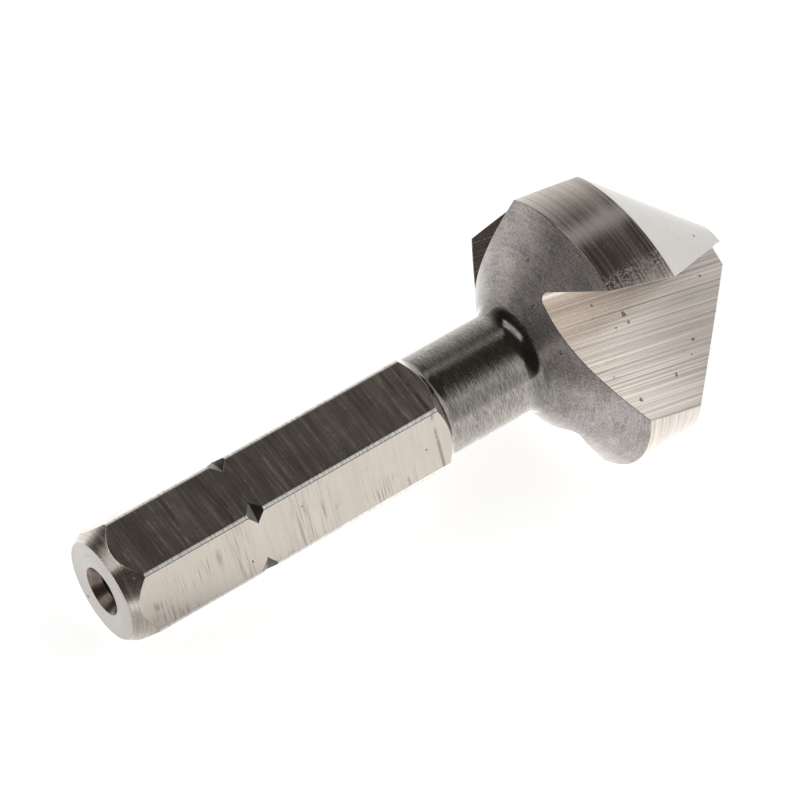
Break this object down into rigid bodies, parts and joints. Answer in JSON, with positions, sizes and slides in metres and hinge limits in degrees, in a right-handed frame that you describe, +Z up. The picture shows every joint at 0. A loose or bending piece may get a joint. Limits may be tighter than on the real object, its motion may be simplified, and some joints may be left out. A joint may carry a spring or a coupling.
{
  "type": "countersink bit",
  "caption": "Countersink bit with a relieved, fluted conical head, a turned neck and a hexagonal drive shank with ball-detent notches.",
  "frame": {"origin": "on the surface that the bit lies on, below the centre of its bounding box", "axes": "+Z up, +X from the shank towards the cutting tip, +Y to the left of the tip as seen from the shank"},
  "size_m": [0.0402, 0.0164, 0.0156],
  "materials": {
    "tool_steel": "turned and ground bright"
  },
  "bodies": {
    "root": {"countersink_bit": "tool_steel"}
  },
  "joints": []
}
